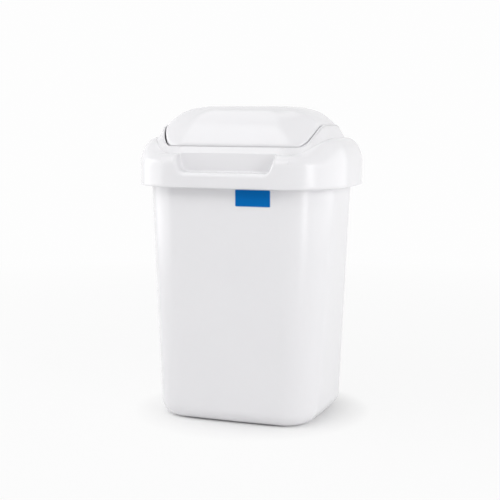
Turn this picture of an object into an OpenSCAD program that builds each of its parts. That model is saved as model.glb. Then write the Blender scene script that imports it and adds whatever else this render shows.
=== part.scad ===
// Countertop trash can with a swing lid.
// Four moulded or printed pieces: a tapered bucket, a lid frame that lifts off
// it, a domed flap that swings in the frame on two moulded pins, and a label.
// Millimetres, +Z up. The front, with the finger recess, faces -Y. The origin
// is under the middle of the foot.

/* [Bucket] */
// Height of the bucket, from the table to the top of its rim
bucket_h = 258; // [200:1:300]
// Width of the bucket just under its rim
bucket_top_w = 200; // [180:1:204]
// Depth of the bucket just under its rim
bucket_top_d = 144; // [125:1:147]
// Corner radius of the bucket just under its rim
bucket_top_r = 46; // [25:1:55]
// Width of the bucket at its foot
bucket_base_w = 170; // [140:1:180]
// Depth of the bucket at its foot
bucket_base_d = 140; // [105:1:142]
// Corner radius of the bucket at its foot
bucket_base_r = 31; // [22:1:45]
// How far the long and short walls swell outward at their middles
bucket_bow = 2; // [0:0.25:4]
// Thickness of the bucket's walls
bucket_wall = 2; // [1.5:0.1:3]
// Rounding between the foot and the walls
foot_round = 16; // [5:0.5:20]
// Height of the hollow under the floor, inside the foot
foot_step = 1.8; // [1:0.1:3]
// Width of the band that the bucket stands on
foot_band = 6; // [4:0.5:9]
// Depth of the rim's turned-down lip
rim_lip = 7; // [4:0.5:9]

/* [Lid frame] */
// Width of the lid over its skirt
lid_w = 224; // [218:1:240]
// Depth of the lid over its skirt
lid_d = 166; // [162:1:185]
// Corner radius of the skirt
lid_r = 58; // [40:1:62]
// How far the skirt's sides swell outward at their middles
lid_bow = 2; // [0:0.25:5]
// Thickness of the lid's walls
lid_wall = 2; // [1.5:0.1:2.6]
// How far the skirt reaches down past the bucket's rim
skirt_lap = 11; // [9:0.5:16]
// Height of the upright part of the skirt
skirt_h = 23; // [20:0.5:26]
// Height of the crease above the skirt's lower edge, at the front and back
crease_h = 34; // [31:0.5:38]
// How far the crease climbs at the middle of each side
crease_rise = 13; // [6:0.5:16]
// How far the crease lies inside the skirt's face
crease_in = 13; // [10:0.5:15]
// Height of the opening's rim above the skirt's lower edge, front and back
rim_h = 40.5; // [38:0.5:44]
// How far that rim climbs at the middle of each side
rim_rise = 21; // [14:0.5:24]
// Half length of the climb, measured from the pivot along the depth
wave_l = 62; // [50:1:72]
// Depth of the wall that hangs from the opening's rim, at the front and back
apron = 9; // [6:0.5:12]
// Thickness of a seat rib
rib_t = 2; // [1.5:0.1:3]

/* [Opening and swing flap] */
// Width of the opening
open_w = 172; // [160:1:180]
// Depth of the opening
open_d = 124; // [112:1:128]
// Corner radius of the opening
open_r = 27; // [18:1:36]
// Gap between the flap's edge and the opening
flap_gap = 1.6; // [1.2:0.1:2.5]
// Height of the flap's crown above the skirt's lower edge
crown_h = 82.5; // [74:0.5:90]
// Fullness of the crown from front to back
crown_front = 3; // [2.4:0.1:4]
// Fullness of the crown from side to side
crown_side = 6; // [4:0.25:8]
// Thickness of the flap's crown
crown_wall = 1.6; // [1.3:0.1:2.2]
// Thickness of the flap's hanging hem
hem_wall = 2.6; // [2:0.1:3.2]
// How far the hem reaches below the pivot
hem_drop = 36; // [28:1:38]
// How much rounder the hem's corners are at its lower edge than at its upper
hem_flare = 4; // [3:0.5:6]

/* [Pivot] */
// How far the pivot lies below the top of the rim at the sides
pivot_drop = 8; // [7:0.5:10]
// Diameter of the flap's pins
pin_d = 5; // [4:0.5:6]
// Running clearance of a pin in its hole, on the radius
pin_clear = 0.06; // [0.03:0.01:0.1]
// How far a pin reaches into its hole
pin_in = 2.6; // [1.8:0.1:3]

/* [Finger recess] */
// Depth of the recess behind the skirt's face
recess_in = 13; // [10:0.5:15]
// Width of the recess under the shoulder
recess_top_w = 111; // [90:1:116]
// Width of the recess at its ledge
recess_low_w = 104; // [84:1:110]
// Height of the ledge above the skirt's lower edge
recess_ledge = 14.5; // [13.5:0.5:18]
// Rounding where the recess's ends meet its ledge
recess_low_r = 8; // [4:0.5:9]
// Rounding where the recess's ends run out at the shoulder
recess_top_r = 4; // [3:0.5:8]

/* [Label] */
// Width of the label
label_w = 38; // [25:1:50]
// Height of the label
label_h = 17.5; // [12:0.5:25]
// How far the label's middle lies to the right of the bucket's
label_x = 28.5; // [-35:0.5:35]
// Bare wall between the label and the skirt
label_drop = 1.2; // [0.5:0.1:30]
// Thickness of the label
label_t = 0.3; // [0.2:0.05:0.5]

/* [Hidden] */

// Clearances between pieces that don't run in each other
seat_gap = 0.3;
slip_gap = 0.6;

// Steps round the outlines
n_arc = 9;
n_long = 12;
n_short = 8;

// Height of the flap's edge over the rim beside it
flap_sit = 1.2;
// Wall round a pivot hole
boss_wall = 3;
// Places of the seat ribs, from the middle of each side
rib_side_y = 22;
rib_back_x = 50;
rib_front_x = 68;
// Corner radius of the label, and the glue under it
label_r = 1.5;
glue = 0.05;
// Rings of the crown, from its edge to its middle
crown_steps = [1, 0.97, 0.93, 0.87, 0.79, 0.69, 0.55, 0.36, 0.15];

skirt_z = bucket_h - skirt_lap;
rim_w = lid_w - 2 * (lid_wall + slip_gap);
rim_d = lid_d - 2 * (lid_wall + slip_gap);
rim_r = lid_r - lid_wall - slip_gap;
pivot_z = skirt_z + rim_h + rim_rise - pivot_drop;
crown_z = skirt_z + crown_h;
seat_z = bucket_h + seat_gap;
hole_r = pin_d / 2 + pin_clear;
flap_w = open_w - 2 * flap_gap;
flap_d = open_d - 2 * flap_gap;
flap_r = open_r - flap_gap;

// ---- Outlines and lofts -------------------------------------------------

// The climb of the lid's edges: 1 beside the pivot, 0 at the front and back
function wave(y) = (1 + cos(180 * min(1, abs(y) / wave_l))) / 2;

function corner(c, r, a0) =
    [for (i = [0 : n_arc]) c + r * [cos(a0 + 90 * i / n_arc), sin(a0 + 90 * i / n_arc)]];
function between(p, q, n) = [for (i = [1 : n - 1]) p + (q - p) * i / n];

// A rounded rectangle, anticlockwise, always with the same count of points
function outline(w, d, r) =
    let (x = w / 2 - r, y = d / 2 - r,
         fr = corner([x, -y], r, -90), br = corner([x, y], r, 0),
         bl = corner([-x, y], r, 90), fl = corner([-x, -y], r, 180))
    concat(fr, between(fr[n_arc], br[0], n_short),
           br, between(br[n_arc], bl[0], n_long),
           bl, between(bl[n_arc], fl[0], n_short),
           fl, between(fl[n_arc], fr[0], n_long));

// Swells the sides of an outline without moving its corners much
function bowed(p, w, d, bow) =
    [p.x + sign(p.x) * bow * (1 - pow(2 * p.y / d, 2)) * pow(min(1, 2 * abs(p.x) / w), 4),
     p.y + sign(p.y) * bow * (1 - pow(2 * p.x / w, 2)) * pow(min(1, 2 * abs(p.y) / d), 4)];

// One closed ring of a loft: its height is z, and z + rise beside the pivot
function ring(w, d, r, bow, z, rise = 0) =
    [for (p = outline(w, d, r)) let (q = bowed(p, w, d, bow)) [q.x, q.y, z + rise * wave(q.y)]];

function middle(r) = [for (p = r) 1] * r / len(r);

// Skins a list of rings and closes both ends with a fan about their middles
module loft(rings) {
    n = len(rings[0]);
    m = len(rings);
    polyhedron(
        points = concat([for (r = rings) each r], [middle(rings[0]), middle(rings[m - 1])]),
        faces = [
            for (i = [0 : n - 1]) let (j = (i + 1) % n, top = (m - 1) * n)
                each concat(
                    [[i, j, m * n], [top + j, top + i, m * n + 1]],
                    [for (k = [0 : m - 2]) let (a = k * n, b = a + n)
                        each [[a + i, b + i, b + j], [a + i, b + j, a + j]]])]);
}

// ---- Bucket -------------------------------------------------------------

// Sizes of the bucket's outer wall at height z
function wall_w(z) = bucket_base_w + (bucket_top_w - bucket_base_w) * z / bucket_h;
function wall_d(z) = bucket_base_d + (bucket_top_d - bucket_base_d) * z / bucket_h;
function wall_r(z) = bucket_base_r + (bucket_top_r - bucket_base_r) * z / bucket_h;

// A ring of the wall at height z, moved inward
function wall_ring(z, inward) =
    ring(wall_w(z) - 2 * inward, wall_d(z) - 2 * inward,
         wall_r(z) - inward, bucket_bow, z);

// A ring of the rim's flange at height z, moved inward from its outer face
function rim_ring(z, inward) =
    ring(rim_w - 2 * inward, rim_d - 2 * inward, rim_r - inward, lid_bow, z);

module bucket() {
    floor_z = foot_step + bucket_wall;
    in_round = foot_round - bucket_wall;
    color("white") loft(concat(
        // under the floor and round the band that it stands on
        [wall_ring(foot_step, foot_round + foot_band),
         wall_ring(0, foot_round + foot_band)],
        // rounded foot
        [for (a = [0 : 22.5 : 90])
            wall_ring(foot_round * (1 - cos(a)), foot_round * (1 - sin(a)))],
        // outer wall and the rim's flange, lip and top
        [wall_ring(bucket_h - bucket_wall, 0),
         rim_ring(bucket_h - bucket_wall, bucket_wall),
         rim_ring(bucket_h - rim_lip, bucket_wall),
         rim_ring(bucket_h - rim_lip, 0),
         rim_ring(bucket_h - bucket_wall / 2, 0),
         rim_ring(bucket_h, bucket_wall / 2),
         wall_ring(bucket_h, bucket_wall / 2),
         wall_ring(bucket_h - bucket_wall / 2, bucket_wall)],
        // inner wall, rounded into the floor
        [for (a = [90 : -22.5 : 0])
            wall_ring(floor_z + in_round * (1 - cos(a)),
                      bucket_wall + in_round * (1 - sin(a)))]));
}

// ---- Lid frame ----------------------------------------------------------

// A ring of the lid's outer face: so far inside the skirt's face, so far
// above its lower edge, climbing so much beside the pivot
function lid_ring(inward, h, rise, t) =
    ring(lid_w - 2 * (inward + t), lid_d - 2 * (inward + t),
         max(8, lid_r - inward - t), lid_bow, skirt_z + h, rise);

// A ring along the opening's rim, moved outward
function open_ring(outward, h, rise) =
    ring(open_w + 2 * outward, open_d + 2 * outward, open_r + outward, 0,
         skirt_z + h, rise);

// The lid's outer form without its openings; t sinks it by a wall, which
// gives the form of the space inside
module lid_form(t = 0) {
    steps = 6;
    shoulder = crease_h - skirt_h;
    loft(concat(
        [lid_ring(0, t > 0 ? -1 : 0, 0, t), lid_ring(0, skirt_h - t / 2, 0, t)],
        // shoulder, a quarter of an ellipse that climbs with the crease
        [for (i = [1 : steps]) let (a = 90 * i / steps)
            lid_ring((crease_in - 2) * (1 - cos(a)), skirt_h - t / 2 + (shoulder - t / 2) * sin(a),
                     crease_rise * sin(a), t)],
        [lid_ring(crease_in, crease_h - t + 0.5, crease_rise, t)],
        // band between the crease and the rim
        [open_ring(1.5 + (t > 0 ? -0.4 : 0), rim_h - t * 1.5, rim_rise),
         open_ring(0.3, rim_h + 0.9 - t * 1.5, rim_rise),
         open_ring(-6, rim_h + 0.9 - t * 1.5, rim_rise),
         open_ring(-12, rim_h + 0.9 - t * 1.5, 0)]));
}

// An upright plate or cutter with a rounded outline, from z0 to z1
module upright(w, d, r, z0, z1) {
    translate([0, 0, z0]) linear_extrude(height = z1 - z0) polygon(outline(w, d, r));
}

// Front view of the recess, grown by g: round where its ends meet the ledge,
// and flared where they run out over the shoulder
module recess_outline(g) {
    low = skirt_z + recess_ledge - g;
    top = skirt_z + crease_h - 1;
    x0 = recess_low_w / 2 + g;
    x1 = recess_top_w / 2 + g;
    r0 = recess_low_r + g;
    r1 = recess_top_r;
    right = concat(
        [for (a = [-90 : 15 : -15]) [x0 - r0 + r0 * cos(a), low + r0 + r0 * sin(a)]],
        [for (a = [165 : -15 : 90]) [x1 + r1 + r1 * cos(a), top - r1 + r1 * sin(a)]],
        [[x1 + r1, crown_z]]);
    n = len(right);
    polygon(concat(right, [for (i = [n - 1 : -1 : 0]) [-right[i].x, right[i].y]]));
}

// The recess's form from in front of the skirt back to y
module recess_block(g, y) {
    front = -lid_d / 2 - 2 * lid_bow - 5;
    translate([0, y, 0]) rotate([90, 0, 0]) linear_extrude(height = y - front) recess_outline(g);
}

// A rib under the shoulder that seats on the bucket's rim, at (x, y) on the
// skirt's inner face, with its length turned to angle a
module seat_rib(x, y, a) {
    long = lid_wall + slip_gap + 8;
    translate([x, y, seat_z]) rotate([0, 0, a])
        translate([-long, -rib_t / 2, 0]) cube([long + lid_wall / 2, rib_t, crown_h]);
}

module seat_ribs() {
    x = lid_w / 2 - lid_wall;
    y = lid_d / 2 - lid_wall;
    for (s = [-1, 1]) {
        for (t = [-1, 1]) seat_rib(s * x, t * rib_side_y, s > 0 ? 0 : 180);
        for (t = [-1, 0, 1]) seat_rib(t * rib_back_x, y, 90);
        seat_rib(s * rib_front_x, -y, -90);
    }
}

// Material round a pivot hole, from the opening outward
module pivot_boss(s) {
    translate([s * open_w / 2, 0, pivot_z]) rotate([0, s * 90, 0])
        cylinder(r = hole_r + boss_wall, h = crease_in, $fn = 48);
}

module pivot_hole(s) {
    translate([s * (open_w / 2 - 1), 0, pivot_z]) rotate([0, s * 90, 0])
        cylinder(r = hole_r, h = 1 + pin_in + seat_gap, $fn = 48);
}

module lid_frame() {
    apron_z = skirt_z + rim_h - apron;
    color("white") difference() {
        lid_form();
        // space inside the walls
        difference() {
            lid_form(lid_wall);
            upright(open_w + 2 * lid_wall, open_d + 2 * lid_wall, open_r + lid_wall,
                    apron_z, crown_z);
            recess_block(lid_wall, -lid_d / 2 + recess_in + lid_wall);
            seat_ribs();
            for (s = [-1, 1]) pivot_boss(s);
        }
        upright(open_w, open_d, open_r, skirt_z - 5, crown_z);
        recess_block(0, -lid_d / 2 + recess_in);
        for (s = [-1, 1]) pivot_hole(s);
    }
}

// ---- Swing flap ---------------------------------------------------------

// Height of the flap's edge beside a point of its outline
function edge_z(y) = skirt_z + rim_h + flap_sit + rim_rise * wave(y);

// A ring of the crown: rho is 1 at the edge and 0 at the middle, t sinks it
function crown_ring(rho, t = 0) =
    [for (p = outline(flap_w - 2 * t, flap_d - 2 * t, flap_r - t))
        let (w = wave(p.y),
             e = edge_z(p.y) - t,
             fullness = crown_front + (crown_side - crown_front) * w)
        [p.x * rho, p.y * rho, e + (crown_z - t - e) * (rho < 0.2 ? 1 : 1 - pow(rho, fullness))]];

// A ring of the hem, t inside its outer face: s is 0 at the flap's edge and
// 1 at the hem's lower edge. The front and back follow a round about the
// pivot and the corners grow rounder, so that they pass the rim as the flap
// swings.
function hem_ring(s, t = 0) =
    let (low = pivot_z - hem_drop,
         front = edge_z(flap_d / 2),
         z_front = front + (low - front) * s,
         reach = sqrt(pow(flap_d / 2, 2) + pow(pivot_z - front, 2) - pow(pivot_z - z_front, 2)),
         edge = outline(flap_w, flap_d, flap_r),
         p = outline(flap_w - 2 * t, 2 * (reach - t), flap_r + hem_flare * s - t))
    [for (i = [0 : len(p) - 1])
        let (e = edge_z(edge[i].y) - (t > 0 ? crown_wall : 0)) [p[i].x, p[i].y, e + (low - e) * s]];

module flap_pin(s) {
    translate([s * (flap_w / 2 - hem_wall / 2), 0, pivot_z]) rotate([0, s * 90, 0]) {
        cylinder(d = pin_d, h = hem_wall / 2 + flap_gap + pin_in, $fn = 48);
        cylinder(d = pin_d + 3, h = hem_wall / 2 + flap_gap - seat_gap, $fn = 48);
    }
}

module swing_flap() {
    color("white") {
        // from the crown's underside, down inside the hem, up outside it and
        // over the crown
        loft(concat(
            [for (i = [len(crown_steps) - 1 : -1 : 0]) crown_ring(crown_steps[i], crown_wall)],
            [for (s = [0.3, 0.65, 1]) hem_ring(s, hem_wall)],
            [for (s = [1 : -0.2 : 0.1]) hem_ring(s)],
            [for (rho = crown_steps) crown_ring(rho)]));
        for (s = [-1, 1]) flap_pin(s);
    }
}

// ---- Label --------------------------------------------------------------

// The bucket's front face at x and z, seen from above: its distance to +Y
function front_y(x, z) = -wall_d(z) / 2 - bucket_bow * (1 - pow(2 * x / wall_w(z), 2));

module label() {
    z1 = skirt_z - label_drop;
    z0 = z1 - label_h;
    steps = 10;
    x0 = label_x - label_w / 2;
    columns = concat([for (a = [0 : 22.5 : 90]) label_r * (1 - cos(a))],
                     [for (i = [1 : steps - 1]) label_r + (label_w - 2 * label_r) * i / steps],
                     [for (a = [90 : -22.5 : 0]) label_w - label_r * (1 - cos(a))]);
    color("royalblue") loft([for (u = columns)
        let (e = min(u, label_w - u, label_r),
             cut = label_r - sqrt(max(0, pow(label_r, 2) - pow(label_r - e, 2))),
             x = x0 + u, a = z0 + min(cut, label_r * 0.9), b = z1 - min(cut, label_r * 0.9),
             back = -glue, face = -glue - label_t)
        [[x, front_y(x, a) + face, a], [x, front_y(x, a) + back, a],
         [x, front_y(x, b) + back, b], [x, front_y(x, b) + face, b]]]);
}

bucket();
lid_frame();
swing_flap();
label();
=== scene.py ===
"""Looks of the countertop trash can with a swing lid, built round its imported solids.

Sizes are written in millimetres and built in metres, in the frame of the
solids: +Z is up, the front with the finger recess faces -Y, and the origin is
under the middle of the foot.
"""

import logging
import math
from contextlib import contextmanager
from dataclasses import dataclass
from enum import Enum
from functools import partialmethod
from typing import Any, Iterator, Sequence

import bmesh
import bpy
import numpy as np
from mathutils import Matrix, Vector


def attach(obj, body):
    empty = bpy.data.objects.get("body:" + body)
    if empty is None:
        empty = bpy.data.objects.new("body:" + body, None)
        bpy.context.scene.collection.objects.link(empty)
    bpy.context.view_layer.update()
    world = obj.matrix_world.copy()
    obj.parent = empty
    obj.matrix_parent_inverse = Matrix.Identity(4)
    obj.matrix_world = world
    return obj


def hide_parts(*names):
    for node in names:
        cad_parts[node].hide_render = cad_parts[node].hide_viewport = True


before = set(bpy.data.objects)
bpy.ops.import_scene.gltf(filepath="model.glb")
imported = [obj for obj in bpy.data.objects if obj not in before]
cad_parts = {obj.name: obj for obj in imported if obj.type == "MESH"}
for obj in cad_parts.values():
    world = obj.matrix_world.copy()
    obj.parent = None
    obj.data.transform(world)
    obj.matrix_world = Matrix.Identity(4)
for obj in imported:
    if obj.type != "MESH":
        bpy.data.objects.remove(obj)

LOG = logging.getLogger("trash_can")
MM = 0.001
QUARTER = math.pi / 2
SENSOR = 36.0

Triple = tuple[float, float, float]
Colour = tuple[float, float, float, float]
Skin = tuple[np.ndarray, list[tuple[int, ...]]]


class Body(Enum):
    """The bodies of the moving model that pieces ride on."""

    TUB = "tub"
    LID = "lid"
    FLAP = "flap"


class Slot(Enum):
    """The record's material slots."""

    BUCKET = "bucket_plastic"
    LID = "lid_plastic"
    FLAP = "flap_plastic"
    LABEL = "label_film"


# ---- Node trees written as Python ----


class Value:
    """One output of a node, which takes part in Python arithmetic."""

    def __init__(self, tree: "Tree", socket: bpy.types.NodeSocket) -> None:
        """Wraps an output of a tree."""
        self.tree, self.socket = tree, socket

    def other(self, name: str) -> "Value":
        """Another output of the same node, by its name."""
        return Value(self.tree, self.socket.node.outputs[name])

    def _join(self, operation: str, term: "Value | float", swapped: bool = False) -> "Value":
        """Adds one Math node over self and a term, which comes first where they are swapped."""
        terms = (term, self) if swapped else (self, term)
        return self.tree.node("ShaderNodeMath", {"operation": operation}, dict(enumerate(terms)))

    __add__ = partialmethod(_join, "ADD")
    __radd__ = partialmethod(_join, "ADD", swapped=True)
    __sub__ = partialmethod(_join, "SUBTRACT")
    __rsub__ = partialmethod(_join, "SUBTRACT", swapped=True)
    __mul__ = partialmethod(_join, "MULTIPLY")
    __rmul__ = partialmethod(_join, "MULTIPLY", swapped=True)
    __truediv__ = partialmethod(_join, "DIVIDE")
    __rtruediv__ = partialmethod(_join, "DIVIDE", swapped=True)
    __pow__ = partialmethod(_join, "POWER")
    __rpow__ = partialmethod(_join, "POWER", swapped=True)
    at_least = partialmethod(_join, "MAXIMUM")
    at_most = partialmethod(_join, "MINIMUM")

    def __abs__(self) -> "Value":
        """The size of self without its sign."""
        return self.tree.node("ShaderNodeMath", {"operation": "ABSOLUTE"}, {0: self})


class Tree:
    """Adds nodes to one shader or geometry tree."""

    def __init__(self, nodes: bpy.types.NodeTree) -> None:
        """Takes over a tree."""
        self.nodes = nodes

    def node(
        self,
        kind: str,
        settings: dict[str, Any] | None = None,
        inputs: dict[int | str, Any] | None = None,
        output: int | str = 0,
    ) -> Value | None:
        """Adds a node.

        Args:
            kind: The node's type.
            settings: Its settings, such as an operation, set before its inputs.
            inputs: Values or links of its sockets, by name or number.
            output: The output to hand back.

        Returns:
            The chosen output, or None from a node that has none.
        """
        made = self.nodes.nodes.new(kind)
        for name, value in (settings or {}).items():
            setattr(made, name, value)
        for name, value in (inputs or {}).items():
            if isinstance(value, Value):
                self.nodes.links.new(value.socket, made.inputs[name])
            else:
                made.inputs[name].default_value = value
        return Value(self, made.outputs[output]) if len(made.outputs) else None

    def noise(self, place: Value, scale: float, detail: float) -> Value:
        """A noise from 0 to 1, by its grains in a metre and its finer layers."""
        return self.node("ShaderNodeTexNoise", None, {"Vector": place, "Scale": scale, "Detail": detail})

    def blend(self, share: Value, first: Colour, second: Colour) -> Value:
        """A colour between two, by a share from 0 to 1."""
        return self.node("ShaderNodeMix", {"data_type": "RGBA"}, {0: share, 6: first, 7: second}, 2)

    def unevenness(self, height: Value, strength: float, distance: float) -> Value:
        """The normal of a finely uneven surface, from its height."""
        sizes = {"Strength": strength, "Distance": distance}
        return self.node("ShaderNodeBump", None, {**sizes, "Height": height})

    def seen(self) -> Value:
        """1 where the camera sees a surface straight, in gloss or through glass, and 0 elsewhere."""
        rays = self.node("ShaderNodeLightPath", output="Is Camera Ray")
        return (rays + rays.other("Is Glossy Ray") + rays.other("Is Transmission Ray")).at_most(1.0)


class GeometryTree(Tree):
    """A Geometry Nodes tree with named inputs for its sizes."""

    def __init__(self, name: str, sizes: dict[str, float]) -> None:
        """Starts the tree.

        Args:
            name: Its name.
            sizes: Its number inputs in millimetres, by name.
        """
        super().__init__(bpy.data.node_groups.new(name, "GeometryNodeTree"))
        self.sizes = sizes
        sides = self.nodes.interface
        for way in ("OUTPUT", "INPUT"):
            sides.new_socket(name="Geometry", in_out=way, socket_type="NodeSocketGeometry")
        for size in sizes:
            sides.new_socket(name=size, in_out="INPUT", socket_type="NodeSocketFloat")
        sides.new_socket(name="Finish", in_out="INPUT", socket_type="NodeSocketMaterial")
        self.given = self.node("NodeGroupInput")

    def size(self, name: str) -> Value:
        """One of the tree's inputs."""
        return self.given.other(name)

    def attribute(self, name: str) -> Value:
        """A number that the mesh's points carry."""
        return self.node("GeometryNodeInputNamedAttribute", {"data_type": "FLOAT"}, {"Name": name})

    def vector(self, x: Value | float, y: Value | float, z: Value | float) -> Value:
        """A vector from its three parts."""
        return self.node("ShaderNodeCombineXYZ", None, {0: x, 1: y, 2: z})

    def moved(self, geometry: Value, **places: Value) -> Value:
        """A geometry with its points moved to a Position or by an Offset."""
        return self.node("GeometryNodeSetPosition", None, {"Geometry": geometry, **places})

    def grow(
        self, name: str, source: bpy.types.Mesh, geometry: Value, finish: bpy.types.Material
    ) -> bpy.types.Mesh:
        """Ends the tree, runs it on a mesh and hands back the plain mesh that it makes.

        Args:
            name: The new mesh's name.
            source: The mesh that the tree starts from.
            geometry: The tree's result, before instances are realized.
            finish: The material of the result.

        Returns:
            The mesh, with no modifier or instance left.
        """
        real = self.node("GeometryNodeRealizeInstances", None, {"Geometry": geometry})
        dressing = {"Geometry": real, "Material": self.size("Finish")}
        self.node("NodeGroupOutput", None, {0: self.node("GeometryNodeSetMaterial", None, dressing)})
        carrier = bpy.data.objects.new(name + "_source", source)
        bpy.context.scene.collection.objects.link(carrier)
        modifier = carrier.modifiers.new("grow", "NODES")
        modifier.node_group = self.nodes
        given = {size: value * MM for size, value in self.sizes.items()} | {"Finish": finish}
        for item in self.nodes.interface.items_tree:
            if item.in_out == "INPUT" and item.name in given:
                modifier[item.identifier] = given[item.name]
        graph = bpy.context.evaluated_depsgraph_get()
        grown = bpy.data.meshes.new_from_object(carrier.evaluated_get(graph), depsgraph=graph)
        grown.name = name
        bpy.data.objects.remove(carrier)
        bpy.data.meshes.remove(source)
        return grown


# ---- Finishes ----


def dressed(material: bpy.types.Material, tree: Tree, surface: dict[str, Any]) -> bpy.types.Material:
    """Ends a material's tree in one shader.

    Args:
        material: The material.
        tree: Its tree.
        surface: The values or links of the shader's sockets.

    Returns:
        The material.
    """
    shader = tree.node("ShaderNodeBsdfPrincipled", None, surface)
    tree.node("ShaderNodeOutputMaterial", None, {"Surface": shader})
    return material


def emptied(owner: bpy.types.Material | bpy.types.World) -> Tree:
    """Clears the nodes of a material or of the world.

    Args:
        owner: The material or the world.

    Returns:
        Its empty tree.
    """
    owner.use_nodes = True
    owner.node_tree.nodes.clear()
    return Tree(owner.node_tree)


@dataclass(frozen=True)
class Moulded:
    """Glossy injection-moulded polypropylene.

    Attributes:
        name: The material's name.
        pale: The lighter of its two close tones.
        deep: The darker one.
        sheen: Its least and greatest roughness.
        peel: Strength of the fine unevenness of a moulded face.
        drift: Grains in a metre of the slow change of tone.
        clouds: How much finer its quicker change is.
        ripple: Grains in a metre of the face's coarser unevenness.
        grain: Grains in a metre of its finer one.
        refraction: Its index of refraction.
    """

    name: str
    pale: Colour = (0.850, 0.845, 0.862, 1.0)
    deep: Colour = (0.822, 0.816, 0.836, 1.0)
    sheen: tuple[float, float] = (0.17, 0.25)
    peel: float = 0.10
    drift: float = 16.0
    clouds: float = 9.0
    ripple: float = 210.0
    grain: float = 1500.0
    refraction: float = 1.49

    def material(self) -> bpy.types.Material:
        """Builds the material.

        Returns:
            The material, which reads Object coordinates.
        """
        made = bpy.data.materials.new(self.name)
        tree = emptied(made)
        place = tree.node("ShaderNodeTexCoord", output="Object")
        slow, cloud = tree.noise(place, self.drift, 3.0), tree.noise(place, self.drift * self.clouds, 2.0)
        grain, wave = tree.noise(place, self.grain, 2.0), tree.noise(place, self.ripple, 1.0)
        low, high = self.sheen
        return dressed(made, tree, {
            "Base Color": tree.blend(slow * 0.7 + cloud * 0.3, self.deep, self.pale),
            "Roughness": low + (high - low) * (cloud * 0.6 + grain * 0.4),
            "Normal": tree.unevenness(wave * 0.65 + grain * 0.35, self.peel, 0.25 * MM),
            "IOR": self.refraction,
        })


@dataclass(frozen=True)
class Printed:
    """A printed self-adhesive film.

    Attributes:
        name: The material's name.
        ink: The colour of its print.
        worn: The slightly lighter colour where the print is thin.
        gloss: Its least roughness.
        reflection: Its specular level.
        dots: Grains in a metre of the print.
        patches: Grains in a metre of its slow change.
        ripple: Grains in a metre of the film's unevenness.
    """

    name: str
    ink: Colour
    worn: Colour
    gloss: float = 0.42
    reflection: float = 0.05
    dots: float = 2600.0
    patches: float = 120.0
    ripple: float = 350.0

    def material(self) -> bpy.types.Material:
        """Builds the material.

        Returns:
            The material, which reads Object coordinates.
        """
        made = bpy.data.materials.new(self.name)
        tree = emptied(made)
        place = tree.node("ShaderNodeTexCoord", output="Object")
        dots, patches = tree.noise(place, self.dots, 1.0), tree.noise(place, self.patches, 3.0)
        ripple = tree.noise(place, self.ripple, 1.0)
        return dressed(made, tree, {
            "Base Color": tree.blend(dots * 0.5 + patches * 0.5, self.ink, self.worn),
            "Roughness": self.gloss + 0.12 * patches,
            "Specular IOR Level": self.reflection,
            "Normal": tree.unevenness(ripple + dots * 0.2, 0.08, 0.2 * MM),
        })


# ---- Outlines and skins ----


@dataclass(frozen=True)
class Arch:
    """How an edge of the lid climbs beside the pivot.

    Attributes:
        rise: Its height at the middle of each side.
        reach: Half its length along the depth.
        fullness: How long it stays high before it falls.
    """

    rise: float
    reach: float
    fullness: float

    def share(self, y: np.ndarray | float) -> np.ndarray | float:
        """The climb at places along the depth, from 0 to 1."""
        return (1 + np.cos(np.pi * np.minimum(1, np.abs(y) / self.reach) ** self.fullness)) / 2

    def at(self, y: np.ndarray | float) -> np.ndarray | float:
        """The climb at places along the depth."""
        return self.rise * self.share(y)


RIM_ARCH = Arch(22.5, 57.5, 2.5)
CREST_ARCH = Arch(15.5, 70.0, 2.65)


@dataclass
class Stations:
    """Places round a rounded rectangle, the same for every ring of a loft.

    Attributes:
        side: For each place, where along the straight sides its corner's
            centre lies, from -1 to 1 in x and y.
        facing: For each place, the direction from that centre.
    """

    side: np.ndarray
    facing: np.ndarray

    @classmethod
    def closed(cls, arc: int, short: int, long: int) -> "Stations":
        """A whole ring, anticlockwise from the front's right corner.

        Args:
            arc: Steps round each corner.
            short: Steps along each of the two sides.
            long: Steps along the front and along the back.

        Returns:
            The stations.
        """
        side, facing = [], []
        corners = ((1, -1, -90), (1, 1, 0), (-1, 1, 90), (-1, -1, 180))
        for number, (sx, sy, start) in enumerate(corners):
            for i in range(arc + 1):
                angle = math.radians(start + 90 * i / arc)
                side.append((sx, sy))
                facing.append((math.cos(angle), math.sin(angle)))
            nx, ny, _ = corners[(number + 1) % 4]
            steps = short if number % 2 == 0 else long
            for i in range(1, steps):
                side.append((sx + (nx - sx) * i / steps, sy + (ny - sy) * i / steps))
                facing.append(facing[-1])
        return cls(np.array(side, float), np.array(facing, float))

    def __add__(self, more: "Stations") -> "Stations":
        """These stations followed by more."""
        return Stations(np.vstack([self.side, more.side]), np.vstack([self.facing, more.facing]))

    def ring(self, width: Any, depth: Any, corner: Any, bow: float = 0.0) -> tuple[np.ndarray, np.ndarray]:
        """Points on a rounded rectangle whose sides swell a little outward.

        Args:
            width: Its width, a number or an array with one for each station.
            depth: Its depth.
            corner: Its corner radius.
            bow: The swell at the middles of its sides.

        Returns:
            The x and the y of every station.
        """
        x = self.side[:, 0] * (width / 2 - corner) + self.facing[:, 0] * corner
        y = self.side[:, 1] * (depth / 2 - corner) + self.facing[:, 1] * corner
        u, v = 2 * x / width, 2 * y / depth
        return x + bow * u * np.abs(u) ** 3 * (1 - v**2), y + bow * v * np.abs(v) ** 3 * (1 - u**2)


def skin(rows: np.ndarray, closed: bool = True) -> Skin:
    """Skins rows of points with quads.

    Args:
        rows: An array of rows, places and three coordinates.
        closed: Whether each row joins its own start.

    Returns:
        The points as one list, and the faces.
    """
    count, wide = rows.shape[:2]
    faces = []
    for r in range(count - 1):
        for i in range(wide if closed else wide - 1):
            j = (i + 1) % wide
            faces.append((r * wide + i, r * wide + j, (r + 1) * wide + j, (r + 1) * wide + i))
    return rows.reshape(-1, 3), faces


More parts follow.
